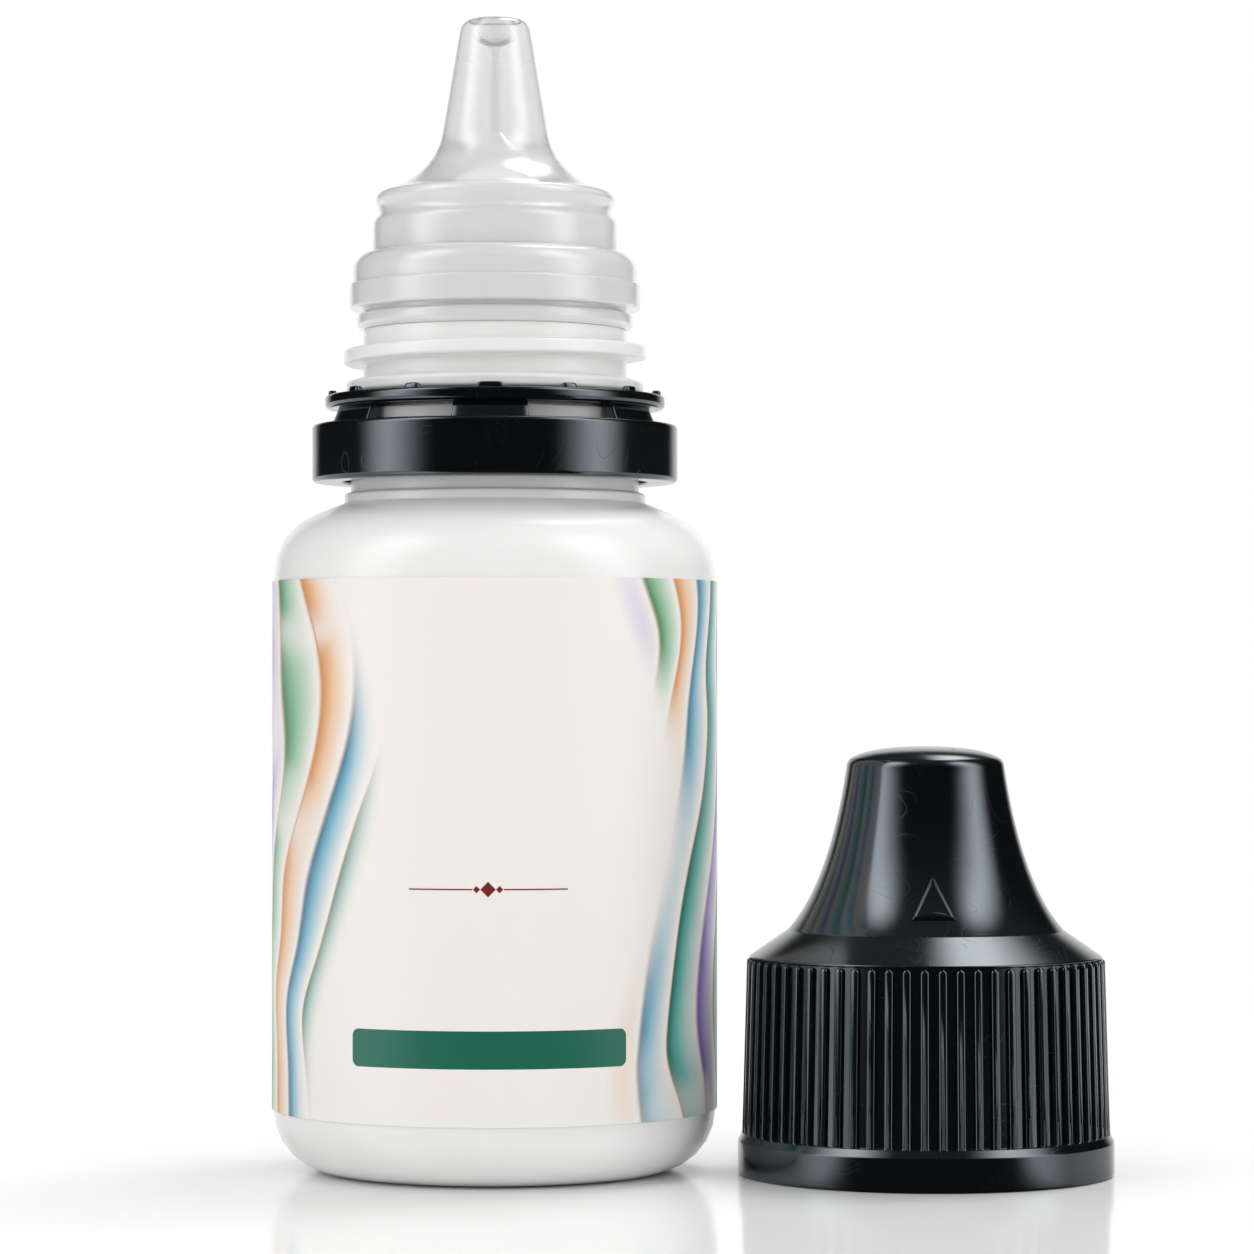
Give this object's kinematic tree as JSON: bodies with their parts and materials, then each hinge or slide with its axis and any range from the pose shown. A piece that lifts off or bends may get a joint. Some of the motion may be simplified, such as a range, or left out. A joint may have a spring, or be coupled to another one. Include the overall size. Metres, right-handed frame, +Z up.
{
  "type": "eye drop bottle",
  "caption": "Round squeeze bottle for eye drops with a translucent dropper head, a tamper ring left on the neck and a ribbed screw cap standing beside it.",
  "frame": {"origin": "middle of the ring that the bottle stands on, on the table", "axes": "+Z up along the bottle's axis, -Y towards the front of the label and the viewer, +X towards the cap that stands beside the bottle"},
  "size_m": [0.0471, 0.0251, 0.0647],
  "materials": {
    "white_plastic": "gloss white polyolefin",
    "label_film": "satin printed label film",
    "natural_plastic": "natural moulded",
    "filter_felt": "porous sintered",
    "silicone": "soft clear silicone",
    "frosted_plastic": "translucent moulded",
    "black_plastic": "gloss black moulded"
  },
  "bodies": {
    "bottle": {"bottle": "white_plastic", "label": "label_film", "flow_insert": "natural_plastic", "vent_filter": "filter_felt", "valve": "silicone", "nozzle": "frosted_plastic", "snap_collar": "frosted_plastic"},
    "tamper_ring": {"tamper_ring": "black_plastic"},
    "cap": {"cap": "black_plastic"}
  },
  "joints": [
    {"name": "ring_turn", "type": "hinge", "parent": "bottle", "child": "tamper_ring", "pos_m": [0, 0, 0.0424], "axis": [0, 0, 1], "continuous": true},
    {"name": "cap_lift", "type": "slide", "parent": "bottle", "child": "cap", "axis": [0, 0, 1], "range_m": [0, 0.07]}
  ]
}
